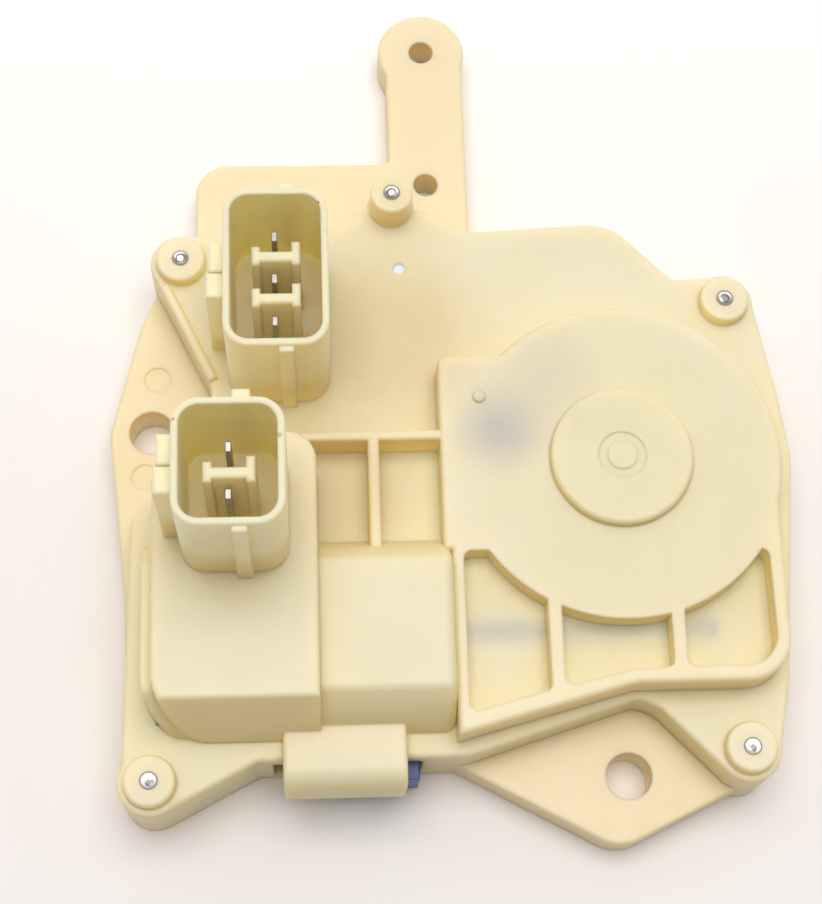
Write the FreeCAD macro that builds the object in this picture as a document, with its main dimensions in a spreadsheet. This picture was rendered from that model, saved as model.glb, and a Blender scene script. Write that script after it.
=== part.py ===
import FreeCAD, Part
import math
import os
import Sketcher
from FreeCAD import Placement, Rotation, Vector

# A vehicle door latch actuator lying on its back. The origin is the lower mounting hole at the rear
# face. +X is to the right, +Y towards the arm, +Z from the rear case to the connector mouths.

driving = {
    # Heights above the rear face
    "earTop": 6.5, "flangeTop": 13.5, "plateauTop": 19.5, "domeBossTop": 21.0, "pocketFloor": 15.3,
    "bulgeTop": 22.25, "platformTop": 26.0, "bossTop": 15.5, "tallBossTop": 19.0, "hoodTop": 16.5,
    "ribTop": 19.3,
    # Walls and clearances
    "shellWall": 1.7, "plateThick": 1.6, "floorThick": 1.6, "seatGap": 0.3, "runGap": 0.05,
    "rimWall": 1.0,
    # Mounting holes and arm
    "earHoleRadius": 3.4, "earHoleX": -69.6, "earHoleY": 54.2,
    "armX": -26.0, "armWide": 12.3, "armHoleFar": 119.5, "armHoleNear": 95.5, "armHoleRadius": 1.95,
    "armHeadRadius": 7.0, "plateLeft": -63.0, "plateTop": 99.4, "plateRound": 5.0,
    # Screws, from the rear
    "screwRadius": 1.3, "screwHeadRadius": 2.7, "screwHeadHigh": 2.0, "screwHeadDeep": 0.6,
    "screwTipRadius": 0.85, "screwTipLong": 3.5,
    "bossRadius": 3.7, "tallBossRadius": 3.3, "lobeRadius": 4.7,
    # Worm wheel, its axle and the worm
    "wheelY": 44.5, "wheelGap": 0.25, "domeWall": 1.4, "domeBossRadius": 10.5,
    "wheelPitch": 21.6, "wormPitch": 3.0, "toothHigh": 0.55, "wheelWide": 6.6, "wormHalf": 9.0,
    "axleRadius": 1.5, "hubRadius": 3.6, "postRadius": 3.2,
    # Motor
    "motorZ": 11.1, "canRadius": 12.1, "canHigh": 18.3, "canLong": 30.0, "canWall": 1.0,
    "canRight": -30.9, "capLong": 5.6, "noseRoom": 3.9, "endRoom": 1.4, "shaftRadius": 1.0,
    "magnetThick": 2.6, "bushRadius": 3.2,
    # Lock lever and slider
    "leverGap": 0.506, "leverPinRadius": 1.2, "leverHubRadius": 2.5, "forkReach": 5.0734,
    "leverArmLong": 46.0, "leverSwing": 12.5, "fingerRadius": 1.2, "slideGap": 0.2,
    "sliderThick": 1.8, "slotLeft": -51.6, "slotRight": -30.2, "slotTop": 10.6, "lowerEdge": 2.2,
    "tabWide": 9.6, "tabReach": 2.5,
    # Connectors
    "shroudWide": 15.0, "shroudRound": 3.7, "shroudHigh": 23.0, "pinPitch": 6.6, "pinWide": 0.85,
    "pinThick": 1.6, "pinSink": 5.6, "pinShift": 0.45,
    "switchX": -49.9, "switchY": 68.4, "feedX": -56.1, "feedY": 35.3, "switchLong": 24.2,
    "feedLong": 17.6, "webThick": 1.6, "keyWide": 2.1, "keyStep": 0.4,
    # Hood over the lock slot
    "hoodLeft": -50.0, "hoodRight": -32.5, "hoodOut": 2.3, "hoodLow": 7.5, "hoodWall": 1.4,
    # Rounds of moulded edges, and small moulding marks
    "edgeRound": 0.7, "ribRound": 0.5, "rimRound": 0.35, "partingRound": 0.3, "bulgeRound": 1.8,
    "beadHigh": 0.8, "beadWide": 1.4, "markDeep": 0.15, "markRadius": 2.0, "gateX": -31.45, "gateY": 77.9,
}

doc = FreeCAD.newDocument("doorLatchActuator")
sheet = doc.addObject("Spreadsheet::Sheet", "Sizes")
for row, (alias, value) in enumerate(driving.items(), 1):
    sheet.set("A%d" % row, alias)
    sheet.set("B%d" % row, str(value))
    sheet.setAlias("B%d" % row, alias)
doc.recompute()


class Dim:
    """A size that knows its value and the sheet expression it comes from."""

    def __init__(self, number, text):
        self.number = float(number)
        self.text = text

    def __add__(self, other):
        other = dim(other)
        return Dim(self.number + other.number, "(%s + %s)" % (self.text, other.text))

    def __sub__(self, other):
        other = dim(other)
        return Dim(self.number - other.number, "(%s - %s)" % (self.text, other.text))

    def __mul__(self, other):
        other = dim(other)
        return Dim(self.number * other.number, "(%s * %s)" % (self.text, other.text))

    def __truediv__(self, other):
        other = dim(other)
        return Dim(self.number / other.number, "(%s / %s)" % (self.text, other.text))

    def __neg__(self):
        return Dim(-self.number, "(0 - %s)" % self.text)

    def root(self):
        return Dim(math.sqrt(self.number), "sqrt(%s)" % self.text)


def dim(value):
    if isinstance(value, Dim):
        return value
    return Dim(value, "(%r)" % float(value))


class Sizes:
    pass


s = Sizes()
for alias, value in driving.items():
    setattr(s, alias, Dim(value, "Sizes." + alias))

# Sizes that follow from the ones above
restTilt = s.leverSwing.number / 2
s.domeRadius = s.wheelPitch + s.toothHigh + s.wheelGap + s.domeWall
s.motorY = s.wheelY - s.wheelPitch - s.wormPitch
s.sliderBack = s.lowerEdge + s.shellWall + s.slideGap
s.sliderFront = s.sliderBack + s.sliderThick
s.leverY = s.sliderFront + s.forkReach + s.leverArmLong * math.cos(math.radians(restTilt))
s.leverReach = s.wheelPitch + s.toothHigh + s.leverGap + s.leverHubRadius
s.leverX = -(s.leverReach * s.leverReach - (s.leverY - s.wheelY) * (s.leverY - s.wheelY)).root()
s.capLeft = s.canRight - s.canLong - s.capLong
s.canLeft = s.canRight - s.canLong
s.bulgeRight = s.canRight + s.noseRoom + s.shellWall
s.bulgeLeft = s.capLeft - s.endRoom - s.shellWall


def bind(item, name, value):
    """Tie a property to the sheet where its size comes from there, and set it plainly where not."""
    value = dim(value)
    if "Sizes." in value.text:
        item.setExpression(name, value.text)
    else:
        item.setExpression(name, repr(value.number))


def place(item, x=0, y=0, z=0, turn=None):
    """Put an object at bound coordinates, with an optional fixed rotation."""
    if turn is not None:
        item.Placement = Placement(Vector(0, 0, 0), turn)
    bind(item, "Placement.Base.x", x)
    bind(item, "Placement.Base.y", y)
    bind(item, "Placement.Base.z", z)
    return item


def cylinder(name, x, y, low, high, radius):
    item = doc.addObject("Part::Cylinder", name)
    bind(item, "Radius", radius)
    bind(item, "Height", dim(high) - low)
    return place(item, x, y, low)


alongX = Rotation(Vector(0, 1, 0), 90)


def rod(name, left, right, y, z, radius):
    """A cylinder along X."""
    item = doc.addObject("Part::Cylinder", name)
    bind(item, "Radius", radius)
    bind(item, "Height", dim(right) - left)
    return place(item, left, y, z, alongX)


def box(name, xs, ys, zs):
    item = doc.addObject("Part::Box", name)
    for prop, (low, high) in (("Length", xs), ("Width", ys), ("Height", zs)):
        bind(item, prop, dim(high) - low)
    return place(item, xs[0], ys[0], zs[0])


def fuse(name, items):
    item = doc.addObject("Part::MultiFuse", name)
    item.Shapes = items
    item.Refine = True
    return item


def cut(name, base, tools):
    item = doc.addObject("Part::Cut", name)
    item.Base = base
    item.Tool = tools[0] if len(tools) == 1 else fuse(name + "Tools", tools)
    item.Refine = True
    return item


def common(name, items):
    item = doc.addObject("Part::MultiCommon", name)
    item.Shapes = items
    item.Refine = True
    return item


def outline(name, corners, turn=None):
    """A closed sketch whose corners, (x, y) or (x, y, round radius), are bound to sizes."""
    sketch = doc.addObject("Sketcher::SketchObject", name)
    points = [Vector(dim(corner[0]).number, dim(corner[1]).number, 0) for corner in corners]
    count = len(points)
    lines = [sketch.addGeometry(Part.LineSegment(points[i], points[(i + 1) % count])) for i in range(count)]
    rules = []
    for i, corner in enumerate(corners):
        rules.append(Sketcher.Constraint("Coincident", lines[i - 1], 2, lines[i], 1))
        rules.append(Sketcher.Constraint("DistanceX", -1, 1, lines[i], 1, points[i].x))
        rules.append(Sketcher.Constraint("DistanceY", -1, 1, lines[i], 1, points[i].y))
    sketch.addConstraint(rules)
    for i, corner in enumerate(corners):
        bind(sketch, "Constraints[%d]" % (3 * i + 1), corner[0])
        bind(sketch, "Constraints[%d]" % (3 * i + 2), corner[1])
    if turn is not None:
        sketch.Placement = Placement(Vector(0, 0, 0), turn)
    return sketch


def extrude(name, profile, length, direction=Vector(0, 0, 1)):
    item = doc.addObject("Part::Extrusion", name)
    item.Base = profile
    item.DirMode = "Custom"
    item.Dir = direction
    bind(item, "LengthFwd", length)
    item.Solid = True
    return item


def roundCorners(name, block, corners, flatten):
    """Round the long edges of a straight block at each corner that states a radius."""
    rounds = [corner for corner in corners if len(corner) == 3]
    if not rounds:
        return block
    block.recompute(True)
    edges = []
    for index, line in enumerate(block.Shape.Edges, 1):
        ends = [flatten(vertex.Point) for vertex in line.Vertexes]
        for corner in rounds:
            x, y, radius = [dim(value).number for value in corner]
            if all(math.hypot(end[0] - x, end[1] - y) < 1e-4 for end in ends):
                edges.append((index, radius, radius))
    item = doc.addObject("Part::Fillet", name + "Rounded")
    item.Base = block
    item.Edges = edges
    return item


def prism(name, corners, low, high):
    """A block that stands on a sketch parallel to the rear face."""
    profile = outline(name + "Outline", corners)
    bind(profile, "Placement.Base.z", low)
    block = extrude(name, profile, dim(high) - low)
    return roundCorners(name, block, corners, lambda point: (point.x, point.y))


def rectangle(xs, ys, radius=None):
    corners = [(xs[0], ys[0]), (xs[1], ys[0]), (xs[1], ys[1]), (xs[0], ys[1])]
    return corners if radius is None else [corner + (radius,) for corner in corners]


# A profile drawn across the part is extruded along X: sketch x is Y, sketch y is Z
acrossTurn = Rotation(FreeCAD.Matrix(0, 0, 1, 0, 1, 0, 0, 0, 0, 1, 0, 0, 0, 0, 0, 1))


def bar(name, corners, left, right):
    profile = outline(name + "Outline", corners, acrossTurn)
    bind(profile, "Placement.Base.x", left)
    block = extrude(name, profile, dim(right) - left, Vector(1, 0, 0))
    return roundCorners(name, block, corners, lambda point: (point.y, point.z))


def soften(name, block, chosen):
    """Round the edges for which chosen gives a radius."""
    block.recompute(True)
    edges = []
    for index, line in enumerate(block.Shape.Edges, 1):
        radius = chosen(line)
        if radius is not None:
            edges.append((index, dim(radius).number, dim(radius).number))
    item = doc.addObject("Part::Fillet", name)
    item.Base = block
    item.Edges = edges
    return item


def atHeight(level, radius):
    """Choose the edges that lie at one height."""
    level = dim(level).number

    def chosen(line):
        box = line.BoundBox
        return radius if abs(box.ZMin - level) < 1e-4 and abs(box.ZMax - level) < 1e-4 else None
    return chosen


def cap(name, block, level, radius):
    return soften(name, block, atHeight(level, radius))


parts = []


def keep(item, label):
    item.Label = label
    parts.append(item)
    return item


# Screw places: x, y and the height of the boss top
screws = [
    (-64.8, 79.2, s.bossTop, s.bossRadius, s.lobeRadius),
    (18.25, 71.3, s.bossTop, s.bossRadius, s.lobeRadius),
    (16.6, 2.3, s.bossTop, s.bossRadius, s.lobeRadius),
    (-68.8, -0.45, s.bossTop, s.bossRadius, s.lobeRadius),
    (-32.4, 88.1, s.tallBossTop, s.tallBossRadius, s.bossRadius),
]

# The edge that the two shells share, without the screw lobes
edge = [
    (-69.0, 77.2), (-60.2, 58.7, 2.0), (-60.4, 48.6, 2.0), (-69.6, 41.0, 1.5), (-72.1, 37.8, 2.0),
    (-73.0, 0.0), (-66.6, -4.6), (-53.6, s.lowerEdge, 2.0), (-23.6, s.lowerEdge, 4.0), (-2.0, 8.9, 3.0),
    (1.2, 9.9, 3.0), (4.2, 8.5, 3.0), (13.6, -1.4), (20.9, 0.6), (23.3, 12.0, 6.0),
    (s.domeRadius + 2.9, s.wheelY + 2.0, 8.0), (s.domeRadius + 1.7, s.wheelY + 11.5, 6.0),
    (22.8, 71.8), (18.3, 75.9), (10.8, 75.4, 3.0), (1.4, 85.3, 9.0),
    (-20.6, 84.0, 3.0), (-29.4, 88.6), (-35.4, 88.6), (-43.0, 83.9, 2.0), (-64.6, 83.9),
]


def edgeBlock(name, low, high):
    return prism(name, edge, low, high)


def hollow(name, low, high):
    """The room inside the shared edge, less the screw columns that stand in it."""
    profile = outline(name + "Outline", edge)
    bind(profile, "Placement.Base.z", low)
    inner = doc.addObject("Part::Offset2D", name + "Inner")
    inner.Source = profile
    inner.Join = 2
    bind(inner, "Value", -s.shellWall)
    room = extrude(name + "Room", inner, dim(high) - low)
    columns = [cylinder(name + "Column%d" % i, x, y, dim(low) - 1, dim(high) + 1, s.bossRadius)
               for i, (x, y, top, radius, lobe) in enumerate(screws)]
    return cut(name, room, columns)


def lobes(name, low):
    items = []
    for i, (x, y, top, radius, lobe) in enumerate(screws):
        high = s.flangeTop if low is s.earTop else s.earTop
        blank = cylinder(name + "LobeBlank%d" % i, x, y, low, high, lobe)
        items.append(cap(name + "Lobe%d" % i, blank, high, s.ribRound))
    return items


# Front cover
frameRight = s.domeRadius - 1.1
plateauLeft = s.leverX - 4.5
plateauFar = s.leverY + 4.4
plateauCorners = [
    (plateauLeft, plateauFar, 1.5), (-8.0, plateauFar), (frameRight, s.wheelY), (frameRight, 11.0, 6.5),
    (0.2, 11.0, 5.0), (s.bulgeRight, 4.2), (s.bulgeRight, 31.2), (plateauLeft, 31.2),
]
platformLeft, platformRight, platformFar = -68.0, -44.6, 47.5
platformCorners = [
    (platformLeft, 5.0, 8.0), (platformRight, 5.0), (platformRight, platformFar, 4.5),
    (-60.2, platformFar, 1.5), (platformLeft, 41.0, 1.5),
]
platformSide = [
    (5.0, s.earTop + 1), (5.0, s.flangeTop + 0.7), (8.9, s.platformTop), (platformFar + 1, s.platformTop),
    (platformFar + 1, s.earTop + 1),
]
bulgeHalf = s.canRadius + s.shellWall + 1.1
bulgeNear, bulgeFar = s.motorY - bulgeHalf, s.motorY + bulgeHalf
bulgePlan = [
    (s.bulgeLeft, bulgeNear, 8.0), (s.bulgeRight, bulgeNear), (s.bulgeRight, bulgeFar),
    (s.bulgeLeft, bulgeFar, 1.5),
]


def motorRound(name, left, right, radius, half):
    """The flat-sided round of the motor can, along X."""
    return common(name, [
        rod(name + "Round", left, right, s.motorY, s.motorZ, radius),
        box(name + "Flats", (left, right), (s.motorY - radius, s.motorY + radius),
            (s.motorZ - half, s.motorZ + half)),
    ])


def shroud(name, x, y, long, base):
    """A plug shroud: wall, keys and catch on its left, and ribs on its front and back."""
    half = s.shroudWide / 2
    reach = long / 2
    top = dim(base) + s.shroudHigh
    left = dim(x) - half
    keyTop = top - 3
    outer = prism(name + "Outer", rectangle((left, dim(x) + half), (dim(y) - reach, dim(y) + reach),
                                            s.shroudRound), dim(base) - 1.5, top)
    front = box(name + "KeyFront", (left - s.keyWide - s.keyStep, left + 0.5), (dim(y) - 3.5, dim(y) + 0.3),
                (dim(base) - 1, keyTop))
    back = box(name + "KeyBack", (left - s.keyWide, left + 0.5), (dim(y) + 0.5, dim(y) + 4.8),
               (dim(base) - 1, keyTop))
    pieces = [
        cap(name + "Rim", outer, top, s.rimRound),
        cap(name + "KeyFrontSoft", front, keyTop, s.rimRound),
        cap(name + "KeyBackSoft", back, keyTop, s.rimRound),
        box(name + "RibFront", (dim(x) + 0.4, dim(x) + 2.5), (dim(y) - reach - 0.9, dim(y) - reach + 0.5),
            (dim(base) - 1, top - 0.4)),
        box(name + "RibBack", (dim(x) + 0.5, dim(x) + 2.9), (dim(y) + reach - 0.5, dim(y) + reach + 1.2),
            (dim(base) - 1, top - 0.6)),
    ]
    return pieces


def shroudRoom(name, x, y, long, base):
    half = s.shroudWide / 2 - s.rimWall
    reach = long / 2 - s.rimWall
    return prism(name, rectangle((dim(x) - half, dim(x) + half), (dim(y) - reach, dim(y) + reach),
                                 s.shroudRound - s.rimWall), dim(base) + 2.5, dim(base) + s.shroudHigh + 1)


def divider(name, x, y, base):
    """The moulded H that stands between two pins."""
    low = dim(base) + 2
    high = dim(base) + s.shroudHigh - 3
    halfWeb = s.webThick / 2
    shape = fuse(name + "Shape", [
        box(name + "Web", (dim(x) - 2.9, dim(x) + 2.9), (dim(y) - halfWeb, dim(y) + halfWeb), (low, high)),
        box(name + "Left", (dim(x) - 3.5, dim(x) - 2.25), (dim(y) - 1.3, dim(y) + 1.6), (low, high)),
        box(name + "Right", (dim(x) + 2.25, dim(x) + 3.5), (dim(y) - 1.3, dim(y) + 2.3), (low, high)),
    ])
    return [cap(name + "Soft", shape, high, s.ribRound)]


def pinSlot(name, x, y, low, high):
    wide = s.pinWide / 2 + s.runGap
    thick = s.pinThick / 2 + s.runGap
    return box(name, (dim(x) - wide, dim(x) + wide), (dim(y) - thick, dim(y) + thick), (low, high))


switchPins = [s.switchY + s.pinShift + s.pinPitch * (i - 1) for i in range(3)]
feedPins = [s.feedY + s.pinShift + s.pinPitch * (i - 0.5) for i in range(2)]
switchPinX, feedPinX = s.switchX - 0.25, s.feedX - 0.2

domeInner = s.domeRadius - s.domeWall
ceiling = s.plateauTop - s.plateThick
flangeUnder = s.flangeTop - s.plateThick
pocketUnder = s.pocketFloor - s.plateThick

solids = [cap("flange", edgeBlock("coverEdge", s.earTop, s.flangeTop), s.flangeTop, s.edgeRound)]
solids += lobes("cover", s.earTop)
for i, (x, y, top, radius, lobe) in enumerate(screws):
    boss = cylinder("coverBossBlank%d" % i, x, y, s.earTop, top, radius)
    solids.append(cap("coverBoss%d" % i, boss, top, s.ribRound))

pocketPlans = [
    [(-23.7, 30.9, 1.2), (-15.0, 30.9), (-11.9, 34.0), (-11.9, 10.3, 1.2), (-23.7, 7.2, 1.2)],
    [(-10.0, 30.0), (5.7, 30.0), (5.7, 13.2, 1.2), (-0.2, 12.9, 4.0), (-10.0, 10.7, 1.2)],
    [(7.6, 30.3), (20.6, 30.3, 1.2), (20.8, 13.2, 4.6), (7.6, 13.2, 1.2)],
]
domeGuard = cylinder("domeGuard", 0, s.wheelY, s.pocketFloor - 1, s.plateauTop + 2, s.domeRadius + 0.4)
pockets = [prism("pocket%d" % i, plan, s.pocketFloor, s.plateauTop + 1) for i, plan in enumerate(pocketPlans)]
pocketRoom = cut("pocketRoom", fuse("pocketAll", pockets), [domeGuard])

plateau = prism("plateauBlank", plateauCorners, s.earTop + 1, s.plateauTop)
solids.append(cap("plateau", plateau, s.plateauTop, s.edgeRound))
dome = cylinder("domeBlank", 0, s.wheelY, s.earTop + 1, s.plateauTop, s.domeRadius)
solids.append(cap("dome", dome, s.plateauTop, s.edgeRound))
solids.append(cap("domeBoss", cylinder("domeBossBlank", 0, s.wheelY, s.plateauTop - 1, s.domeBossTop,
                                       s.domeBossRadius), s.domeBossTop, s.edgeRound))
solids.append(cylinder("gateNub", s.leverX + 1.5, s.leverY - 2.3, s.plateauTop - 1, s.plateauTop + 0.3, 0.9))
platform = common("platformBlock", [
    prism("platformPlan", platformCorners, s.earTop + 1, s.platformTop),
    bar("platformSlope", platformSide, platformLeft - 1, platformRight + 1),
])
solids.append(cap("platform", platform, s.platformTop, s.edgeRound))

bulge = common("bulgeBlock", [
    motorRound("bulgeRound", s.bulgeLeft, s.bulgeRight, s.canRadius + s.shellWall + 0.6,
               s.bulgeTop - s.motorZ),
    prism("bulgePlan", bulgePlan, s.earTop + 1, s.bulgeTop),
])


def bulgeEdge(line):
    """The long edges beside the flat top, and the right end above the flange."""
    box = line.BoundBox
    if box.ZMax < s.flangeTop.number - 3:
        return None
    atEnd = abs(box.XMin - s.bulgeRight.number) < 1e-4 and box.XMax - box.XMin < 1e-4
    beside = abs(box.ZMin - s.bulgeTop.number) < 1e-4 and box.XMax - box.XMin > 20
    return s.bulgeRound if atEnd or beside else None


solids.append(soften("bulge", bulge, bulgeEdge))
for name, xs, ys in (("ribAcross", (-47, -26), (48.0, 49.5)), ("ribAlong", (-37.1, -35.4), (30.0, 48.5))):
    solids.append(cap(name, box(name + "Blank", xs, ys, (s.flangeTop - 1, s.ribTop)), s.ribTop, s.ribRound))
beadX, beadY = s.beadWide * 0.904, s.beadWide * 0.427
beadCorners = [(-67.9, 75.0), (-60.5, 59.6), (beadX - 60.5, beadY + 59.6), (beadX - 67.9, beadY + 75.0)]
bead = prism("beadBlank", beadCorners, s.flangeTop - 1, s.flangeTop + s.beadHigh)
solids.append(cap("bead", bead, s.flangeTop + s.beadHigh, s.ribRound))
solids += shroud("switchShroud", s.switchX, s.switchY, s.switchLong, s.flangeTop)
solids += shroud("feedShroud", s.feedX, s.feedY, s.feedLong, s.platformTop)

hoodOuterY = -s.hoodOut
hoodProfile = [
    (7.5, s.hoodTop), (hoodOuterY, s.hoodTop, 3.2), (hoodOuterY, s.hoodLow),
    (hoodOuterY + s.hoodWall, s.hoodLow), (hoodOuterY + s.hoodWall, s.hoodTop - s.hoodWall, 2.0),
    (s.lowerEdge + 0.5, s.hoodTop - s.hoodWall), (s.lowerEdge + 0.5, s.flangeTop - 1), (7.5, s.flangeTop - 1),
]
hood = bar("hood", hoodProfile, s.hoodLeft, s.hoodRight)


def hoodEdge(line):
    """The outer edges of the two ends: along the top, round the bend and down the front."""
    box = line.BoundBox
    if box.XMax - box.XMin > 1e-4 or box.ZMin < s.hoodLow.number - 1e-4:
        return None
    onTop = abs(box.ZMin - s.hoodTop.number) < 1e-4 and abs(box.ZMax - s.hoodTop.number) < 1e-4
    bendOrFront = box.YMin < -s.hoodOut.number + 1e-4 and box.ZMax - box.ZMin > 1.0
    return s.edgeRound if onTop or bendOrFront else None


solids.append(soften("hoodSoft", hood, hoodEdge))

coverBlock = fuse("coverBlock", solids)

frameRoomLeft, frameRoomRight = s.bulgeRight + s.shellWall, frameRight - s.shellWall
frameRoomCorners = [
    (frameRoomLeft, 33.0), (frameRoomRight, 33.0), (frameRoomRight, 12.7, 4.8), (0.4, 12.7, 5.0),
    (frameRoomLeft, 6.4),
]
leftRoomLeft, leftRoomFar = plateauLeft + s.plateThick, plateauFar - 1.5
leftRoomCorners = [
    (leftRoomLeft, leftRoomFar, 1.0), (-8.0, leftRoomFar), (0.0, s.wheelY), (-12.0, 34.0),
    (leftRoomLeft, 34.0),
]

hollows = [
    hollow("coverHollow", s.earTop - 1, flangeUnder),
    cylinder("domeRoom", 0, s.wheelY, s.earTop, ceiling, domeInner),
    cylinder("domeBossRoom", 0, s.wheelY, ceiling - 1, s.domeBossTop - s.plateThick, s.domeBossRadius - 1.6),
    prism("leftRoom", leftRoomCorners, s.earTop + 1, ceiling),
    prism("frameRoom", frameRoomCorners, s.earTop + 1, pocketUnder),
    rod("wormRoom", s.canRight + s.noseRoom, s.wormHalf + 4, s.motorY, s.motorZ,
        s.wormPitch + s.toothHigh + s.seatGap),
    motorRound("motorRoom", s.capLeft - s.endRoom, s.canRight + s.noseRoom, s.canRadius + s.seatGap,
               s.canHigh / 2 + 0.2),
    prism("platformRoom", [(-66.3, 10.7, 2.0), (-46.3, 10.7, 1.0), (-46.3, 45.8, 3.0), (-59.6, 45.8, 1.0),
                           (-66.3, 40.2, 1.0)], s.earTop + 3, s.platformTop - s.plateThick),
    shroudRoom("switchRoom", s.switchX, s.switchY, s.switchLong, s.flangeTop),
    shroudRoom("feedRoom", s.feedX, s.feedY, s.feedLong, s.platformTop),
    pocketRoom,
    cylinder("gateMark", s.gateX, s.gateY, s.flangeTop - 0.5, s.flangeTop + 1, 0.95),
    box("coverSlot", (s.slotLeft, s.slotRight), (-0.8, s.lowerEdge + s.shellWall + 0.5),
        (s.earTop - 1, s.slotTop)),
]
for i, (x, y, top, radius, lobe) in enumerate(screws):
    tipLow = top - s.screwTipLong
    hollows.append(cylinder("coverScrewHole%d" % i, x, y, s.earTop - 1, tipLow, s.screwRadius + s.runGap))
    hollows.append(cylinder("coverTipHole%d" % i, x, y, tipLow - 1, top + 1, s.screwTipRadius + s.runGap))
hollows += [pinSlot("switchSlot%d" % i, switchPinX, y, flangeUnder - 1, s.flangeTop + 3)
            for i, y in enumerate(switchPins)]
hollows += [pinSlot("feedSlot%d" % i, feedPinX, y, s.platformTop - 3, s.platformTop + 3)
            for i, y in enumerate(feedPins)]
hollows.append(cut("bossRing", cylinder("bossRingOuter", 0, s.wheelY, s.domeBossTop - s.markDeep,
                                        s.domeBossTop + 1, 3.5),
                   [cylinder("bossRingInner", 0, s.wheelY, s.domeBossTop - 1, s.domeBossTop + 2, 2.2)]))

coverShell = cut("coverShell", coverBlock, hollows)
inside = divider("dividerOne", s.switchX, s.switchY - s.pinPitch / 2 - 0.4, s.flangeTop)
inside += divider("dividerTwo", s.switchX, s.switchY + s.pinPitch / 2 - 0.5, s.flangeTop)
inside += divider("dividerFeed", s.feedX, s.feedY - 0.7, s.platformTop)
axleSocket = cylinder("axleSocketWall", 0, s.wheelY, ceiling - 0.1, s.domeBossTop - 0.5, 2.8)
inside.append(cut("axleSocket", axleSocket, [
    cylinder("axleSocketHole", 0, s.wheelY, ceiling - 1, s.domeBossTop - s.plateThick,
             s.axleRadius + s.runGap)]))
keep(fuse("coverBody", [coverShell] + inside), "front_cover")

# Rear case
earPlan = [
    (-69.0, 77.2), (-71.6, 71.2, 3.0), (-76.0, 54.0, 6.0), (-73.4, 28.0, 20.0), (-73.0, 0.0),
    (-66.0, 0.0), (-59.0, 48.0), (-59.0, 58.0), (-64.0, 76.0),
]
lowerEarPlan = [
    (-25.8, s.lowerEdge + 0.4), (-1.9, -10.5, 6.0), (15.4, -2.4), (16.6, 3.0), (2.0, 11.0), (-6.0, 8.8),
]
armHalf = s.armWide / 2
boardLow, boardHigh = 2.6, 4.0
ejectorMarks = [(-68.8, 62.8), (-70.6, 47.1)]
platePlan = [
    (s.plateLeft, 83.0), (s.plateLeft, s.plateTop, s.plateRound), (s.armX - armHalf, s.plateTop, 1.0),
    (s.armX - armHalf, s.armHoleFar), (s.armX + armHalf, s.armHoleFar), (s.armX + armHalf, 84.5),
    (-30.0, 87.5), (-35.0, 87.5), (-43.0, 83.0),
]
caseSolids = [cap("caseEdge", edgeBlock("caseEdgeBlank", 0, s.earTop), s.earTop, s.partingRound)]
caseSolids += lobes("case", dim(0))
for name, plan in (("leftEar", earPlan), ("lowerEar", lowerEarPlan), ("armPlate", platePlan)):
    caseSolids.append(cap(name, prism(name + "Blank", plan, 0, s.earTop), s.earTop, s.ribRound))
armHead = cylinder("armHeadBlank", s.armX - 0.4, s.armHoleFar, 0, s.earTop, s.armHeadRadius)
caseSolids.append(cap("armHead", armHead, s.earTop, s.ribRound))
caseBlock = fuse("caseBlock", caseSolids)
caseHollows = [
    hollow("caseHollow", s.floorThick, s.earTop + 1),
    cylinder("lowerEarHole", 0, 0, -1, s.earTop + 1, s.earHoleRadius),
    cylinder("leftEarHole", s.earHoleX, s.earHoleY, -1, s.earTop + 1, s.earHoleRadius),
    cylinder("armHoleA", s.armX - 0.4, s.armHoleFar, -1, s.earTop + 1, s.armHoleRadius),
    cylinder("armHoleB", s.armX - 0.4, s.armHoleNear, -1, s.earTop + 1, s.armHoleRadius),
    box("caseSlot", (s.slotLeft, s.slotRight), (-0.8, s.lowerEdge + s.shellWall + 0.5),
        (s.floorThick, s.earTop + 1)),
]
caseHollows += [cylinder("ejectorMark%d" % i, x, y, s.earTop - s.markDeep, s.earTop + 1, s.markRadius)
                for i, (x, y) in enumerate(ejectorMarks)]
caseShell = cut("caseShell", caseBlock, caseHollows)
posts = [
    cylinder("axlePost", 0, s.wheelY, 0.5, s.earTop + 0.6, s.postRadius),
    cylinder("leverPost", s.leverX, s.leverY, 0.5, s.floorThick + 0.4, s.leverHubRadius),
    box("sliderGuideLeft", (-60, -40), (s.sliderFront + 0.3, s.sliderFront + 1.1), (0.5, 3.3)),
    box("thrustBlock", (s.wormHalf + 2.3, s.wormHalf + 4.3), (s.motorY - 2.5, s.motorY + 2.5),
        (0.5, s.motorZ - 0.6)),
    box("switchPostA", (-44.5, -42.5), (s.switchY - 12.4, s.switchY + 7.6), (0.5, boardLow)),
    box("switchPostB", (s.leverX - 9.0, s.leverX - 7.0), (s.switchY - 0.4, s.switchY + 7.6), (0.5, boardLow)),
    box("springPost", (6.6, 8.2), (34.0, 36.5), (0.5, 6.4)),
]
caseFull = fuse("caseFull", [caseShell] + posts)
caseBores = [cylinder("axleBore", 0, s.wheelY, 0.8, s.earTop + 2, s.axleRadius + s.runGap),
             cylinder("leverBore", s.leverX, s.leverY, 0.8, s.floorThick + 2, s.leverPinRadius + s.runGap)]
caseBores += [cylinder("caseScrewHole%d" % i, x, y, -1, s.earTop + 1, s.screwRadius + s.runGap)
              for i, (x, y, top, radius, lobe) in enumerate(screws)]
caseBores += [cylinder("caseScrewSink%d" % i, x, y, -1, s.screwHeadDeep + s.screwHeadHigh,
                       s.screwHeadRadius + s.runGap)
              for i, (x, y, top, radius, lobe) in enumerate(screws)]
keep(cut("caseBody", caseFull, caseBores), "rear_case")

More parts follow.
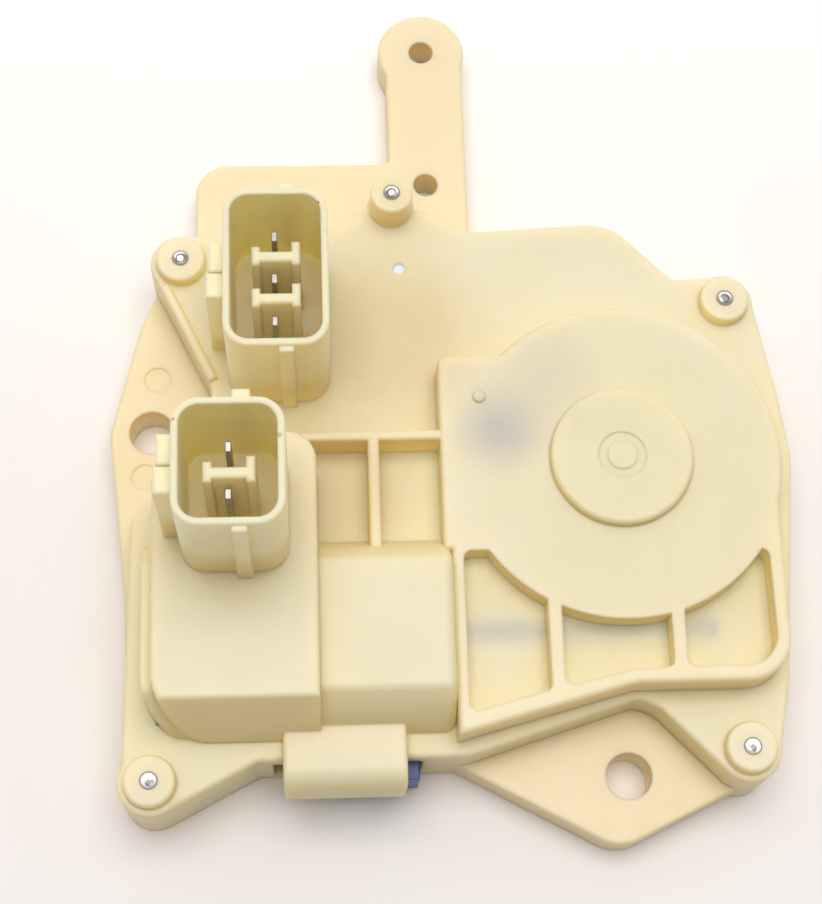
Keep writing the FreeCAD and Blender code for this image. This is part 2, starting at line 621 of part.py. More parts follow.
# Screws: one group of separate solids
screwSolids = []
for i, (x, y, top, radius, lobe) in enumerate(screws):
    headTop = s.screwHeadDeep + s.screwHeadHigh
    screwSolids.append(cut("screw%d" % i, fuse("screwBlank%d" % i, [
        cylinder("screwHead%d" % i, x, y, s.screwHeadDeep, headTop, s.screwHeadRadius),
        cylinder("screwShank%d" % i, x, y, headTop - 0.1, top - s.screwTipLong - 0.1, s.screwRadius),
        cylinder("screwTip%d" % i, x, y, headTop, top - 0.2, s.screwTipRadius),
    ]), [box("screwDriveA%d" % i, (dim(x) - 1.3, dim(x) + 1.3), (dim(y) - 0.3, dim(y) + 0.3), (0, 1.5)),
         box("screwDriveB%d" % i, (dim(x) - 0.3, dim(x) + 0.3), (dim(y) - 1.3, dim(y) + 1.3), (0, 1.5))]))
screwGroup = doc.addObject("Part::Compound", "screwGroup")
screwGroup.Links = screwSolids
keep(screwGroup, "case_screws")

# Motor
tabX = s.capLeft + 1.7
tabYs = [s.motorY - 4.9, s.motorY + 5.1]
canHalf = s.canHigh / 2
can = cut("motorCanBody", motorRound("canOuter", s.canLeft, s.canRight, s.canRadius, canHalf), [
    motorRound("canRoom", s.canLeft - 1, s.canRight - s.canWall, s.canRadius - s.canWall,
               canHalf - s.canWall),
    rod("canNoseHole", s.canRight - 3, s.canRight + 3, s.motorY, s.motorZ, s.bushRadius + s.runGap),
])
keep(can, "motor_can")

endCap = cut("motorCapBody", fuse("capBlank", [
    motorRound("capOuter", s.capLeft, s.canLeft, s.canRadius - 0.2, canHalf - 0.1),
    motorRound("capSpigot", s.canLeft - 0.1, s.canLeft + 2.0, s.canRadius - s.canWall - s.runGap,
               canHalf - s.canWall - s.runGap),
]), [rod("capBushHole", s.capLeft + 1.2, s.canLeft + 3, s.motorY, s.motorZ, s.bushRadius + s.runGap),
     box("brushRoomLow", (s.capLeft + 1.5, s.canLeft + 3), (s.motorY - 1.8, s.motorY + 1.8),
         (s.motorZ - 7.4, s.motorZ)),
     box("brushRoomHigh", (s.capLeft + 1.5, s.canLeft + 3), (s.motorY - 1.8, s.motorY + 1.8),
         (s.motorZ, s.motorZ + 7.4)),
     box("tabSlotA", (tabX - 0.45, tabX + 0.45), (tabYs[0] - 1.6, tabYs[0] + 1.6),
         (s.motorZ + 5.9, s.motorZ + canHalf)),
     box("tabSlotB", (tabX - 0.45, tabX + 0.45), (tabYs[1] - 1.6, tabYs[1] + 1.6),
         (s.motorZ + 5.9, s.motorZ + canHalf))])
keep(endCap, "motor_end_cap")

bushes = doc.addObject("Part::Compound", "bushGroup")
bushes.Links = [
    cut("noseBush",
        rod("noseBushOuter", s.canRight - 2.2, s.canRight + 1.2, s.motorY, s.motorZ, s.bushRadius),
        [rod("noseBushHole", s.canRight - 4, s.canRight + 4, s.motorY, s.motorZ, s.shaftRadius + s.runGap)]),
    cut("capBush", rod("capBushOuter", s.capLeft + 1.3, s.capLeft + 4.0, s.motorY, s.motorZ, s.bushRadius),
        [rod("capBushBore", s.capLeft, s.capLeft + 6, s.motorY, s.motorZ, s.shaftRadius + s.runGap)]),
]
keep(bushes, "motor_bushes")

magnetLeft = s.canLeft + 3.0
magnetRight = s.canRight - 3.5
magnetOuter = s.canRadius - s.canWall - s.runGap
magnetRing = cut("magnetRing", rod("magnetRound", magnetLeft, magnetRight, s.motorY, s.motorZ, magnetOuter),
                 [rod("magnetBore", magnetLeft - 1, magnetRight + 1, s.motorY, s.motorZ,
                      magnetOuter - s.magnetThick)])
keep(common("magnetPair", [magnetRing, box("magnetSpan", (magnetLeft, magnetRight),
                                           (s.motorY - s.canRadius, s.motorY + s.canRadius),
                                           (s.motorZ - 6.6, s.motorZ + 6.6))]), "motor_magnets")

# Rotor: shaft, laminated core with three poles, coils and commutator
shaftRight = s.wormHalf + 2.0
keep(rod("shaftRod", s.capLeft + 1.4, shaftRight, s.motorY, s.motorZ, s.shaftRadius), "motor_shaft")

coreLeft = magnetLeft + 2.0
coreRight = magnetRight - 2.0
coreRadius = magnetOuter - s.magnetThick - 0.45

def cylinderX(length, radius):
    return Part.makeCylinder(radius, length, Vector(0, 0, 0), Vector(1, 0, 0))


def rotorCore():
    """Three T-shaped poles on a hub, as stamped laminations stacked along X."""
    length = (coreRight - coreLeft).number
    radius = coreRadius.number
    yoke = 1.3
    outer = cylinderX(length, radius)
    core = cylinderX(length, 3.1)
    for i in range(3):
        stem = Part.makeBox(length, 2.4, radius - 0.6, Vector(0, -1.2, 0))
        stem.rotate(Vector(0, 0, 0), Vector(1, 0, 0), 120 * i)
        core = core.fuse(stem)
    ring = outer.cut(cylinderX(length, radius - yoke))
    gaps = []
    for i in range(3):
        gap = Part.makeBox(length, 2.2, radius + 1, Vector(0, -1.1, 0))
        gap.rotate(Vector(0, 0, 0), Vector(1, 0, 0), 60 + 120 * i)
        gaps.append(gap)
    ring = ring.cut(gaps[0].fuse(gaps[1:]))
    core = core.fuse(ring).removeSplitter()
    return core.cut(cylinderX(length, s.shaftRadius.number))


def rotorCoils():
    """One bundle of wire round each pole's stem, inside the pole shoes."""
    length = (coreRight - coreLeft).number
    radius = coreRadius.number
    coils = []
    for i in range(3):
        bundle = Part.makeBox(length + 2.4, 5.0, radius - 2.3 - 3.5, Vector(-1.2, -2.5, 3.5))
        stem = Part.makeBox(length, 2.5, radius, Vector(0, -1.25, 0))
        bundle = bundle.cut(stem)
        bundle.rotate(Vector(0, 0, 0), Vector(1, 0, 0), 120 * i)
        coils.append(bundle)
    return Part.makeCompound(coils)


def commutator():
    """Three copper bars on a moulded sleeve, as one turned and slotted piece."""
    body = cylinderX(4.2, 2.6)
    body = body.cut(cylinderX(4.2, s.shaftRadius.number))
    for i in range(3):
        slot = Part.makeBox(3.2, 0.4, 1.0, Vector(-0.1, -0.2, 2.0))
        slot.rotate(Vector(0, 0, 0), Vector(1, 0, 0), 60 + 120 * i)
        body = body.cut(slot)
    return body


def feature(name, label, shape, origin):
    """Keep a shape that is drawn about its own origin, carried to its place."""
    item = doc.addObject("Part::Feature", name)
    item.Shape = shape
    item.Placement = Placement(origin, Rotation()).multiply(shape.Placement)
    return keep(item, label)


motorAxis = Vector(0, s.motorY.number, s.motorZ.number)
feature("coreBody", "armature_core", rotorCore(), motorAxis + Vector(coreLeft.number, 0, 0))
feature("coilBody", "armature_coils", rotorCoils(), motorAxis + Vector(coreLeft.number, 0, 0))
commLeft = s.capLeft.number + 4.4
feature("commBody", "commutator", commutator(), motorAxis + Vector(commLeft, 0, 0))

brushes = doc.addObject("Part::Compound", "brushGroup")
brushes.Links = [
    box("brushLow", (commLeft + 0.3, commLeft + 3.5), (s.motorY - 1.6, s.motorY + 1.6),
        (s.motorZ - 7.2, s.motorZ - 2.65)),
    box("brushHigh", (commLeft + 0.3, commLeft + 3.5), (s.motorY - 1.6, s.motorY + 1.6),
        (s.motorZ + 2.65, s.motorZ + 7.2)),
]
keep(brushes, "motor_brushes")

# The lever's line to the wheel axis, and the layer that its toothed blade turns in
pinionTeeth, bladeTeeth, spanTeeth = 12, 48, 6
leverDX = -s.leverX.number
leverDY = s.wheelY.number - s.leverY.number
leverLine = math.degrees(math.atan2(-leverDY, -leverDX))
pinionPitch = s.leverReach.number * pinionTeeth / (pinionTeeth + bladeTeeth)
bladePitch = s.leverReach.number - pinionPitch
leverBladeLow = s.motorZ.number + s.wheelWide.number / 2 + 0.6
leverBladeHigh = leverBladeLow + 2.2

# Worm and worm wheel. Both have teeth at the same spacing, so that they mesh at rest and as they turn.
wheelTeeth = 48


def toothSpacing():
    return 2 * math.pi * s.wheelPitch.number / wheelTeeth


def wormShape():
    """A single-start thread on a sleeve, centred on x = 0."""
    lead = toothSpacing()
    high = s.toothHigh.number
    root = s.wormPitch.number - high - 0.15
    crest = s.wormPitch.number + high
    half = s.wormHalf.number
    length = 2 * half
    sleeve = cylinderX(length, root)
    sleeve.translate(Vector(-half, 0, 0))
    turns = int((length - 2 * lead) / lead)
    start = -turns * lead / 2
    helix = Part.makeHelix(lead, turns * lead, root)
    sink = 0.25
    wide = lead * 0.19
    narrow = lead * 0.10
    section = Part.makePolygon([
        Vector(root - sink, 0, -wide), Vector(crest, 0, -narrow), Vector(crest, 0, narrow),
        Vector(root - sink, 0, wide), Vector(root - sink, 0, -wide)])
    thread = Part.Wire(helix).makePipeShell([section], True, True)
    thread.rotate(Vector(0, 0, 0), Vector(0, 1, 0), 90)
    thread.translate(Vector(start - lead / 4, 0, 0))
    worm = sleeve.fuse(thread)
    bore = cylinderX(length + 2, s.shaftRadius.number + s.runGap.number)
    bore.translate(Vector(-half - 1, 0, 0))
    return worm.cut(bore)


def gearShape(pitch, teeth, high, deep, cutTeeth=None):
    """Straight teeth round a pitch circle, with the first tooth centred on +X."""
    step = 2 * math.pi / teeth
    outer = pitch + high
    root = pitch - deep
    half = step * 0.22
    points = []
    for i in range(cutTeeth or teeth):
        middle = i * step
        for angle, radius in ((-1.75, root), (-0.45, outer), (0.45, outer), (1.75, root)):
            points.append(Vector(radius * math.cos(middle + angle * half),
                                 radius * math.sin(middle + angle * half), 0))
    return points


def wheelShape():
    """Toothed rim, web, hub and the pinion on its front."""
    wide = s.wheelWide.number
    low = s.motorZ.number - wide / 2
    points = gearShape(s.wheelPitch.number, wheelTeeth, s.toothHigh.number, s.toothHigh.number + 0.15)
    shift = -90.0 + 180.0 / wheelTeeth
    rim = Part.Face(Part.makePolygon(points + [points[0]])).extrude(Vector(0, 0, wide))
    rim.rotate(Vector(0, 0, 0), Vector(0, 0, 1), shift)
    webThick = 2.4
    rimInner = s.wheelPitch.number - 2.6
    dish = Part.makeCylinder(rimInner, wide, Vector(0, 0, 0))
    dish = dish.cut(Part.makeCylinder(s.hubRadius.number + 1.4, wide, Vector(0, 0, 0)))
    lowDish = dish.copy()
    lowDish.translate(Vector(0, 0, -(webThick + 0.8)))
    highDish = dish.copy()
    highDish.translate(Vector(0, 0, wide - 0.8))
    wheel = rim.cut(lowDish).cut(highDish)
    wheel.translate(Vector(0, 0, low))
    pinion = gearShape(pinionPitch, pinionTeeth, 0.75, 0.95)
    pinionLow = low + wide - 0.5
    pinionHigh = leverBladeHigh
    gear = Part.Face(Part.makePolygon(pinion + [pinion[0]])).extrude(Vector(0, 0, pinionHigh - pinionLow))
    gear.rotate(Vector(0, 0, 0), Vector(0, 0, 1), leverLine + 15.0)
    gear.translate(Vector(0, 0, pinionLow))
    bore = Part.makeCylinder(s.axleRadius.number + s.runGap.number, 40, Vector(0, 0, -5))
    return wheel.fuse(gear).removeSplitter().cut(bore)


feature("wormBody", "worm", wormShape(), motorAxis)
feature("wheelBody", "worm_wheel", wheelShape(), Vector(0, s.wheelY.number, 0))
keep(cylinder("axleRod", 0, s.wheelY, 1.0, s.domeBossTop - s.plateThick - 0.2, s.axleRadius), "wheel_axle")


def leverShape():
    """Hub tube, toothed blade above the wheel, long arm below it and a short arm for the wiper."""
    hub = Part.makeCylinder(s.leverHubRadius.number, leverBladeHigh - 2.3, Vector(0, 0, 2.3))
    high, deep = 0.75, 0.95
    step = 360.0 / bladeTeeth
    teeth = gearShape(bladePitch, bladeTeeth, high, deep, spanTeeth)
    blade = Part.makePolygon([Vector(0, 2.6, 0)] + [Vector(0, -2.6, 0)] + teeth + [Vector(0, 2.6, 0)])
    blade = Part.Face(blade).extrude(Vector(0, 0, leverBladeHigh - leverBladeLow))
    toWheel = math.degrees(math.atan2(leverDY, leverDX))
    blade.rotate(Vector(0, 0, 0), Vector(0, 0, 1), toWheel - step)
    blade.translate(Vector(0, 0, leverBladeLow))
    long = s.leverArmLong.number
    half = [(3.6, 0), (2.2, 6.5 - long), (0.8, 4.0 - long), (0.8, -long)]
    points = [Vector(-x, y, 0) for x, y in half] + [Vector(x, y, 0) for x, y in reversed(half)]
    arm = Part.makePolygon(points + [points[0]])
    arm = Part.Face(arm).extrude(Vector(0, 0, 3.2))
    finger = Part.makeCylinder(s.fingerRadius.number, 3.2, Vector(0, -long, 0))
    collar = Part.makeCylinder(4.0, 3.2, Vector(0, 0, 0))
    arm = arm.fuse([finger, collar])
    arm.translate(Vector(0, 0, 2.7))
    arm.rotate(Vector(0, 0, 0), Vector(0, 0, 1), restTilt)
    wiperArm = Part.makeBox(12.5, 4.0, 2.0, Vector(0, -2.0, 5.2))
    wiperArm.rotate(Vector(0, 0, 0), Vector(0, 0, 1), 145 + restTilt)
    lever = hub.fuse([blade, arm, wiperArm]).removeSplitter()
    return lever.cut(Part.makeCylinder(s.leverPinRadius.number + s.runGap.number, 40, Vector(0, 0, -5)))


leverOrigin = Vector(s.leverX.number, s.leverY.number, 0)
feature("leverBody", "lock_lever", leverShape(), leverOrigin)
keep(cylinder("leverPinRod", s.leverX, s.leverY, 1.0, ceiling - 0.1, s.leverPinRadius), "lever_pivot_pin")


def wiperShape():
    """A bent spring contact under the lever's short arm."""
    strap = Part.makeBox(5.0, 3.0, 0.3, Vector(7.2, -1.5, 4.9))
    toe = Part.makeBox(1.2, 3.0, 0.35, Vector(11.0, -1.5, 4.6))
    wiper = strap.fuse(toe).removeSplitter()
    wiper.rotate(Vector(0, 0, 0), Vector(0, 0, 1), 145 + restTilt)
    return wiper


feature("wiperBody", "switch_wiper", wiperShape(), leverOrigin)

# Lock slider with its shield, output tab and fork
tilt = math.radians(restTilt)
fingerX = s.leverX.number + s.leverArmLong.number * math.sin(tilt)
fingerY = s.leverY.number - s.leverArmLong.number * math.cos(tilt)
sliderLow = s.floorThick + s.seatGap
tabRight = s.slotRight - 0.4
prong = 1.5
grip = s.fingerRadius.number + 0.12
forkRight = fingerX + grip + prong
shieldRight = s.slotRight + 7.0
forkLow = fingerY - 3.4
slider = fuse("sliderBody", [
    box("shield", (s.slotLeft - 0.8, shieldRight), (s.sliderBack, s.sliderFront),
        (sliderLow, s.slotTop - 0.3)),
    box("tab", (tabRight - s.tabWide, tabRight), (s.lowerEdge - s.tabReach, s.sliderBack + 0.1),
        (sliderLow + 0.4, s.slotTop - 0.6)),
    box("bracketStem", (shieldRight - 2.5, shieldRight), (s.sliderFront - 0.1, forkLow + 1.5),
        (sliderLow, 5.0)),
    box("bracketFoot", (shieldRight - 2.5, forkRight), (forkLow, forkLow + 1.5), (sliderLow, 5.0)),
    box("prongLeft", (fingerX - grip - prong, fingerX - grip), (forkLow, fingerY + 1.5), (sliderLow, 6.0)),
    box("prongRight", (fingerX + grip, forkRight), (forkLow, fingerY + 1.5), (sliderLow, 6.0)),
])
keep(slider, "lock_slider")

# Switch: insulating plate on the case, and three strips that turn up into the plug pins
keep(box("contactPlateBody", (-45.0, s.leverX - 5.2), (s.switchY - 12.9, s.switchY + 8.1),
         (boardLow, boardHigh)), "contact_plate")
padRows = [(s.leverY + 3.9, -41.5), (s.leverY + 6.7, -38.5), (s.leverY + 9.5, -34.5)]
stripHalf = 0.8
stripLow, stripHigh = boardHigh, boardHigh + 0.5
for i, pinY in enumerate(switchPins):
    padY, crossX = padRows[i]
    pinX = switchPinX
    low, high = sorted([padY, pinY], key=lambda place: place.number)
    strip = fuse("switchTerminal%d" % (i + 1), [
        box("switchPin%d" % i, (pinX - s.pinWide / 2, pinX + s.pinWide / 2),
            (pinY - s.pinThick / 2, pinY + s.pinThick / 2),
            (stripLow, s.flangeTop + s.shroudHigh - s.pinSink)),
        box("switchRun%d" % i, (pinX - s.pinWide / 2, crossX + 1.5), (pinY - stripHalf, pinY + stripHalf),
            (stripLow, stripHigh)),
        box("switchCross%d" % i, (crossX, crossX + 1.5), (low - stripHalf, high + stripHalf),
            (stripLow, stripHigh)),
        box("switchPad%d" % i, (crossX, s.leverX - 6.0), (padY - stripHalf, padY + stripHalf),
            (stripLow, stripHigh)),
    ])
    keep(strip, "switch_terminal_%d" % (i + 1))

# Motor feed: two strips from the plug pins to the tabs on the end cap
feedHigh = s.platformTop - s.plateThick - 0.4
feedLow = feedHigh - 0.6
routes = [
    [((s.feedX - 0.9, s.feedX + 0.7), (tabYs[0] - 0.8, feedPins[0] + s.pinThick / 2)),
     ((tabX - 0.8, s.feedX + 0.7), (tabYs[0] - 0.8, tabYs[0] + 0.8))],
    [((tabX - 0.8, feedPinX + s.pinWide / 2), (feedPins[1] - 0.8, feedPins[1] + 0.8)),
     ((tabX - 0.8, tabX + 0.8), (tabYs[1] - 0.8, feedPins[1] + 0.8))],
]
for i, pinY in enumerate(feedPins):
    pinX = feedPinX
    pieces = [box("feedPin%d" % i, (pinX - s.pinWide / 2, pinX + s.pinWide / 2),
                  (pinY - s.pinThick / 2, pinY + s.pinThick / 2),
                  (feedLow, s.platformTop + s.shroudHigh - s.pinSink))]
    pieces += [box("feedRun%d%d" % (i, j), xs, ys, (feedLow, feedHigh))
               for j, (xs, ys) in enumerate(routes[i])]
    keep(fuse("motorTerminal%d" % (i + 1), pieces), "motor_feed_%d" % (i + 1))

tabs = doc.addObject("Part::Compound", "tabGroup")
tabs.Links = [box("motorTab%d" % i, (tabX - 0.4, tabX + 0.4), (y - 1.5, y + 1.5), (s.motorZ + 6.0, feedLow))
              for i, y in enumerate(tabYs)]
keep(tabs, "motor_tabs")


def springShape():
    """Centring spring round the axle post, with two straight legs."""
    wire, radius, turns = 0.5, 6.0, 3.0
    pitch = 1.25
    helix = Part.makeHelix(pitch, pitch * turns, radius)
    start = Part.Wire(Part.makeCircle(wire, Vector(radius, 0, 0), Vector(0, 1, 0)))
    coil = Part.Wire(helix).makePipeShell([start], True, True)
    legLow = Part.makeCylinder(wire, 6.0, Vector(radius, 0, 0), Vector(0, -1, 0))
    legHigh = Part.makeCylinder(wire, 6.0, Vector(radius, 0, pitch * turns), Vector(0, 1, 0))
    return coil.fuse([legLow, legHigh])


feature("springBody", "centring_spring", springShape(), Vector(0, s.wheelY.number, 2.4))

bumpers = doc.addObject("Part::Compound", "bumperGroup")
travel = s.leverArmLong.number * math.radians(s.leverSwing.number)
bumpers.Links = [
    box("bumperRight", (forkRight + 0.3, forkRight + 3.3), (fingerY - 1.0, fingerY + 1.5),
        (s.floorThick, s.earTop - 1.0)),
    box("bumperLeft", (s.slotLeft - 0.8 - travel - 2.4, s.slotLeft - 0.8 - travel - 0.3),
        (s.sliderBack + 0.4, s.sliderFront + 2.0), (s.floorThick, s.earTop - 0.5)),
]
keep(bumpers, "stop_bumpers")

doc.recompute()
problems = []
for item in doc.Objects:
    if "Invalid" in item.State or "Error" in item.State:
        problems.append("%s: %s" % (item.Name, item.State))
for item in parts:
    shape = item.Shape
    if shape.isNull() or not shape.isValid() or not shape.Solids:
        problems.append("%s has no valid solid" % item.Label)
if problems:
    raise RuntimeError("; ".join(problems))

os.makedirs("parts", exist_ok=True)
for item in parts:
    item.Shape.exportStep(os.path.join("parts", item.Label + ".step"))
    print("%-20s solids %d volume %.1f" % (item.Label, len(item.Shape.Solids), item.Shape.Volume))
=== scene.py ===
import bpy
import bmesh
import math
from mathutils import Matrix, Vector


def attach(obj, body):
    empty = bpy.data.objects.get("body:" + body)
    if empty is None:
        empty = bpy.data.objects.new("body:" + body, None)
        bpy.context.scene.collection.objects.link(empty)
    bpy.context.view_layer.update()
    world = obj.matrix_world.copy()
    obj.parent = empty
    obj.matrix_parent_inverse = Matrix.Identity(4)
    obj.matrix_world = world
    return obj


mm = 0.001
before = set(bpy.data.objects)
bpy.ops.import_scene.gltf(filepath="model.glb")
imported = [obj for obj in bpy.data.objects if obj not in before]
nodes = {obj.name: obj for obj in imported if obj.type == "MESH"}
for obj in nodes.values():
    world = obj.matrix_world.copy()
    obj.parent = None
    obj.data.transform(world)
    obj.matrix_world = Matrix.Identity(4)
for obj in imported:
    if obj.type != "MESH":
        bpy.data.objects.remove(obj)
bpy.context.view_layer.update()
print("frame loaded:", len(nodes), "nodes")

# Photo camera: where it stands and its right, up and back directions in the part's frame
camera = {
    "location": (-0.04436, -0.04872, 0.29714),
    "right": (0.9988, -0.0320, 0.0380),
    "up": (0.0175, 0.9462, 0.3235),
    "back": (-0.0462, -0.3224, 0.9455),
    "lens": 80.1,
    "sensor": 36.0,
    "clip": (0.01, 20.0),
}


def addCamera(look):
    data = bpy.data.cameras.new("photoCamera")
    data.lens = look["lens"]
    data.sensor_width = look["sensor"]
    data.clip_start, data.clip_end = look["clip"]
    eye = bpy.data.objects.new("photoCamera", data)
    axes = [Vector(look[name]).normalized() for name in ("right", "up", "back")]
    turn = Matrix([[axis[row] for axis in axes] for row in range(3)]).to_4x4()
    eye.matrix_world = Matrix.Translation(look["location"]) @ turn
    bpy.context.collection.objects.link(eye)
    bpy.context.scene.camera = eye


addCamera(camera)
print("camera placed")


def addNode(tree, kind, place, **settings):
    node = tree.nodes.new(kind)
    node.location = place
    for name, value in settings.items():
        if hasattr(node, name):
            setattr(node, name, value)
        else:
            node.inputs[name].default_value = value
    return node


# Sets a node's inputs, by index or name, from plain values or from other nodes' sockets
def feed(tree, node, inputs):
    for key, value in inputs.items():
        if isinstance(value, bpy.types.NodeSocket):
            tree.links.new(value, node.inputs[key])
        else:
            node.inputs[key].default_value = value


# A shader node group with its named sockets
def newGroup(name, inputs, outputs):
    tree = bpy.data.node_groups.new(name, "ShaderNodeTree")
    for label, kind, value in inputs:
        socket = tree.interface.new_socket(label, in_out="INPUT", socket_type="NodeSocket" + kind)
        socket.default_value = value
    for label, kind in outputs:
        tree.interface.new_socket(label, in_out="OUTPUT", socket_type="NodeSocket" + kind)
    start = addNode(tree, "NodeGroupInput", (-1600, 0))
    end = addNode(tree, "NodeGroupOutput", (900, 0))
    return tree, start.outputs, end


def mixColour(tree, place, factor, first, second):
    node = addNode(tree, "ShaderNodeMix", place, data_type="RGBA")
    feed(tree, node, {0: factor, 6: first, 7: second})  # the mix node's colour sockets are 6 and 7
    return node.outputs[2]


def mathNode(tree, place, operation, *values):
    node = addNode(tree, "ShaderNodeMath", place, operation=operation)
    feed(tree, node, dict(enumerate(values)))
    return node.outputs[0]


def rangeNode(tree, place, value, span, result, kind="LINEAR"):
    node = addNode(tree, "ShaderNodeMapRange", place, interpolation_type=kind)
    feed(tree, node, dict(enumerate((value, *span, *result))))
    return node.outputs[0]


# Noise over the piece's own coordinates
def noiseNode(tree, place, vector, size, **settings):
    node = addNode(tree, "ShaderNodeTexNoise", place, **settings)
    feed(tree, node, {"Vector": vector, "Scale": size})
    return node.outputs["Fac"]


white = (1, 1, 1, 1)
grey = (0.5, 0.5, 0.5, 1)

# How the moulding and its painted shade go: the spans of occlusion, of the normal's upward part and of the
# cloud noise, the size and share of the finer noise, how much painted shade a recess puts on a floor and how
# much more on a wall
moulding = {
    "open": (0.40, 0.98), "hollow": (0.15, 0.55), "upward": (0.50, 0.92), "cloud": (0.45, 0.95),
    "flowSize": 3.0, "flowShare": 0.35, "floorShare": 0.45, "wallMore": 0.55, "roughSwing": 0.18,
}


# Cloudy, slightly translucent moulding with a fine grain, with painted shade: darker in recesses and on
# upright walls than on top, and of the painted hollow colour deep in hollows: painted light where it is
# paler, else painted shade
def makePlasticWithPaintedShade(look):
    tree, given, end = newGroup("plasticWithPaintedShade", [
        ("Tint", "Color", white), ("Cloud and painted shade", "Color", white), ("Painted hollow", "Color", white),
        ("Cloud size", "Float", 40.0), ("Cloud amount", "Float", 0.4), ("Grain size", "Float", 1500.0),
        ("Recess reach", "Float", 0.012), ("Painted wall shade", "Float", 0.0), ("Roughness", "Float", 0.4)],
        [("Colour", "Color"), ("Roughness", "Float"), ("Height", "Float")])
    place = addNode(tree, "ShaderNodeTexCoord", (-1400, -300))
    here = place.outputs["Object"]
    cloud = noiseNode(tree, (-1000, 300), here, given["Cloud size"], Detail=4.0)
    flowSize = mathNode(tree, (-1200, 100), "MULTIPLY", given["Cloud size"], look["flowSize"])
    flow = noiseNode(tree, (-1000, 0), here, flowSize, Detail=6.0, Roughness=0.6, Distortion=1.2)
    lesser = mathNode(tree, (-850, 0), "MULTIPLY", flow, look["flowShare"])
    mixed = mathNode(tree, (-700, 200), "ADD", cloud, lesser)
    cloudy = rangeNode(tree, (-500, 200), mixed, look["cloud"], (0.0, given["Cloud amount"]))

    # Painted shade: occlusion darkens recesses and picks out the hollows for the painted hollow colour
    shade = addNode(tree, "ShaderNodeAmbientOcclusion", (-1000, -300), samples=12)
    feed(tree, shade, {"Distance": given["Recess reach"]})
    openness = rangeNode(tree, (-700, -300), shade.outputs["AO"], look["open"], (0.0, 1.0))
    closed = mathNode(tree, (-500, -200), "SUBTRACT", 1.0, openness)
    inside = rangeNode(tree, (-500, -400), shade.outputs["AO"], look["hollow"], (1.0, 0.0))

    # Painted shade on upright walls, from the normal's upward part
    facing = addNode(tree, "ShaderNodeSeparateXYZ", (-900, -700))
    feed(tree, facing, {"Vector": place.outputs["Normal"]})
    upright = rangeNode(tree, (-700, -700), facing.outputs["Z"], look["upward"], (1.0, 0.0))
    wall = mathNode(tree, (-500, -700), "MULTIPLY", upright, given["Painted wall shade"])
    steep = mathNode(tree, (-500, -900), "MULTIPLY_ADD", upright, look["wallMore"], look["floorShare"])
    recess = mathNode(tree, (-400, -200), "MULTIPLY", closed, steep)
    paintedShade = mathNode(tree, (-400, -400), "MAXIMUM", recess, wall)
    cloudAndShade = mathNode(tree, (-300, 0), "MAXIMUM", cloudy, paintedShade)

    outer = mixColour(tree, (-100, 200), cloudAndShade, given["Tint"], given["Cloud and painted shade"])
    # Deep in hollows the painted hollow colour takes over: painted light where it is paler than the rest
    colour = mixColour(tree, (100, 200), inside, outer, given["Painted hollow"])
    swing = look["roughSwing"]
    smooth = mathNode(tree, (-300, -300), "MULTIPLY_ADD", flow, swing, -swing / 2)
    rough = mathNode(tree, (-100, -300), "ADD", given["Roughness"], smooth)
    grain = noiseNode(tree, (-700, -500), here, given["Grain size"], Detail=3.0)
    feed(tree, end, {"Colour": colour, "Roughness": rough, "Height": grain})
    return tree


spotWaver = {"size": 170.0, "middle": 0.5}


# A soft spot of another colour round one place, with a wavering edge
def makeSoftSpot(look):
    tree, given, end = newGroup("softSpot", [
        ("Colour", "Color", white), ("Spot", "Color", grey), ("Centre", "Vector", (0, 0, 0)),
        ("Inner", "Float", 0.0), ("Outer", "Float", 0.01), ("Waver", "Float", 0.15),
        ("Amount", "Float", 0.5)],
        [("Colour", "Color")])
    place = addNode(tree, "ShaderNodeTexCoord", (-1400, 0))
    here = place.outputs["Object"]
    away = addNode(tree, "ShaderNodeVectorMath", (-1200, 0), operation="DISTANCE")
    feed(tree, away, {0: here, 1: given["Centre"]})
    wave = noiseNode(tree, (-1200, -300), here, look["size"], Detail=3.0)
    swing = mathNode(tree, (-1100, -400), "SUBTRACT", wave, look["middle"])
    sway = mathNode(tree, (-1000, -300), "MULTIPLY", swing, given["Waver"])
    factor = mathNode(tree, (-850, -300), "ADD", sway, 1.0)
    reach = mathNode(tree, (-700, 0), "MULTIPLY", away.outputs["Value"], factor)
    near = rangeNode(tree, (-500, 0), reach, (given["Inner"], given["Outer"]), (1.0, 0.0), "SMOOTHSTEP")
    amount = mathNode(tree, (-300, 0), "MULTIPLY", near, given["Amount"])
    feed(tree, end, {"Colour": mixColour(tree, (0, 0), amount, given["Colour"], given["Spot"])})
    return tree


metalWear = {"stainSize": 260.0, "stain": (0.45, 0.75), "stainMost": 0.8, "roughSwing": 0.3}


